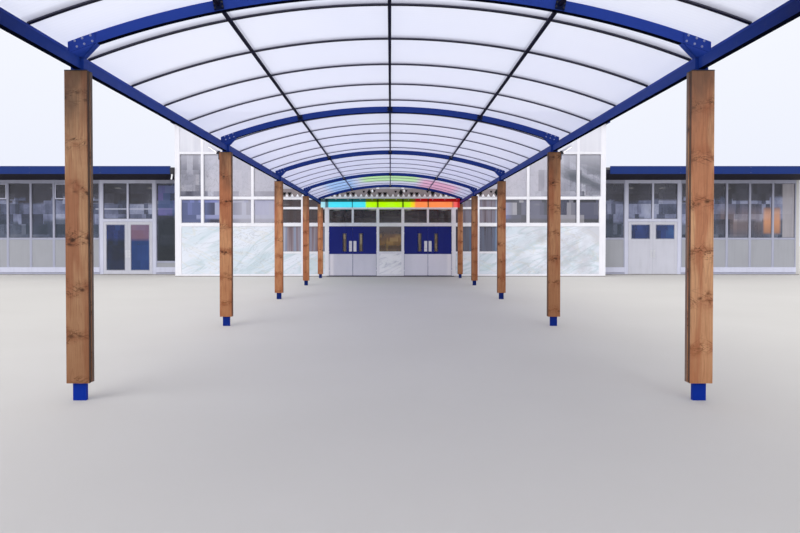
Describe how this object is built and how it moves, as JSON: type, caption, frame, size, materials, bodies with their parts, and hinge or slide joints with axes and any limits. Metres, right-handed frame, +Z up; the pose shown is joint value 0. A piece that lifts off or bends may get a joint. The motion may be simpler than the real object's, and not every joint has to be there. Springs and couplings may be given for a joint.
{
  "type": "school entrance building with arched walkway canopy",
  "caption": "Flat-roofed glazed school hall with low glazed wings, paired entrance doors and an arched, sheeted walkway canopy on timber-clad posts.",
  "frame": {"origin": "on the ground, on the entrance axis, in the middle of the front wall's thickness", "axes": "+Z up, +X to the right for someone facing the entrance, +Y into the building; the canopy stands on the -Y side"},
  "size_m": [36.585, 35.39, 6.98],
  "materials": {
    "concrete": "brushed concrete",
    "white_frame": "satin white paint",
    "wing_frame": "satin off-white paint",
    "window_glass": "clear float glass",
    "white_panel": "semi-gloss white panel",
    "pale_panel": "satin pale grey panel",
    "grey_panel": "satin grey panel",
    "pale_wall": "fine render",
    "roof_covering": "mineral felt",
    "blue_fascia": "semi-gloss blue paint",
    "navy_leaf": "semi-gloss navy paint",
    "white_leaf": "satin white paint",
    "blue_steel": "gloss blue powder coat",
    "dark_steel": "satin dark navy powder coat",
    "bar_metal": "anodised",
    "opal_sheet": "translucent opal sheet",
    "coloured_sheet": "translucent coloured sheet",
    "timber": "knotty softwood, stained"
  },
  "bodies": {
    "building": {"hall_floor": "concrete", "corner_posts": "white_frame", "front_frame_left": "white_frame", "front_frame_right": "white_frame", "entrance_jambs": "white_frame", "entrance_transom": "white_frame", "upper_front_frame": "white_frame", "rear_frame_lower": "white_frame", "rear_frame_upper": "white_frame", "hall_glass": "window_glass", "hall_panels": "white_panel", "spandrel_panels": "pale_panel", "frieze_board": "white_panel", "hall_side_walls": "pale_wall", "upper_floor": "concrete", "hall_roof": "roof_covering", "roof_fascia": "blue_fascia", "wing_floors": "concrete", "wing_frames": "wing_frame", "wing_door_jambs": "wing_frame", "wing_door_heads": "wing_frame", "wing_glass": "window_glass", "wing_panels": "grey_panel", "wing_end_walls": "pale_wall", "wing_roofs": "roof_covering", "wing_fascias": "blue_fascia", "canopy_posts": "blue_steel", "post_planks": "timber", "eaves_beams": "blue_steel", "canopy_arches": "blue_steel", "edge_rails": "blue_steel", "canopy_purlins": "dark_steel", "glazing_bars": "bar_metal", "roof_sheets": "opal_sheet", "valance_rail": "dark_steel", "colour_valance": "coloured_sheet"},
    "entrance_leaf_1_body": {"entrance_leaf_1": "navy_leaf"},
    "entrance_leaf_2_body": {"entrance_leaf_2": "navy_leaf"},
    "entrance_leaf_3_body": {"entrance_leaf_3": "navy_leaf"},
    "entrance_leaf_4_body": {"entrance_leaf_4": "navy_leaf"},
    "left_wing_leaf_1_body": {"left_wing_leaf_1": "white_leaf", "left_wing_leaf_glass_1": "window_glass"},
    "left_wing_leaf_2_body": {"left_wing_leaf_2": "white_leaf", "left_wing_leaf_glass_2": "window_glass"},
    "right_wing_leaf_1_body": {"right_wing_leaf_1": "white_leaf", "right_wing_leaf_glass_1": "window_glass"},
    "right_wing_leaf_2_body": {"right_wing_leaf_2": "white_leaf", "right_wing_leaf_glass_2": "window_glass"}
  },
  "joints": [
    {"name": "entrance_leaf_1_hinge", "type": "hinge", "parent": "building", "child": "entrance_leaf_1_body", "pos_m": [-2.6045, -0.06, 0.04], "axis": [0, 0, -1], "range_deg": [0, 90]},
    {"name": "entrance_leaf_2_hinge", "type": "hinge", "parent": "building", "child": "entrance_leaf_2_body", "pos_m": [-0.5905, -0.06, 0.04], "axis": [0, 0, 1], "range_deg": [0, 90]},
    {"name": "entrance_leaf_3_hinge", "type": "hinge", "parent": "building", "child": "entrance_leaf_3_body", "pos_m": [0.5905, -0.06, 0.04], "axis": [0, 0, -1], "range_deg": [0, 90]},
    {"name": "entrance_leaf_4_hinge", "type": "hinge", "parent": "building", "child": "entrance_leaf_4_body", "pos_m": [2.6045, -0.06, 0.04], "axis": [0, 0, 1], "range_deg": [0, 90]},
    {"name": "left_wing_leaf_1_hinge", "type": "hinge", "parent": "building", "child": "left_wing_leaf_1_body", "pos_m": [-12.8345, 1.29, 0.04], "axis": [0, 0, -1], "range_deg": [0, 90]},
    {"name": "left_wing_leaf_2_hinge", "type": "hinge", "parent": "building", "child": "left_wing_leaf_2_body", "pos_m": [-10.6505, 1.29, 0.04], "axis": [0, 0, 1], "range_deg": [0, 90]},
    {"name": "right_wing_leaf_1_hinge", "type": "hinge", "parent": "building", "child": "right_wing_leaf_1_body", "pos_m": [10.6505, 1.29, 0.04], "axis": [0, 0, -1], "range_deg": [0, 90]},
    {"name": "right_wing_leaf_2_hinge", "type": "hinge", "parent": "building", "child": "right_wing_leaf_2_body", "pos_m": [12.8345, 1.29, 0.04], "axis": [0, 0, 1], "range_deg": [0, 90]}
  ]
}
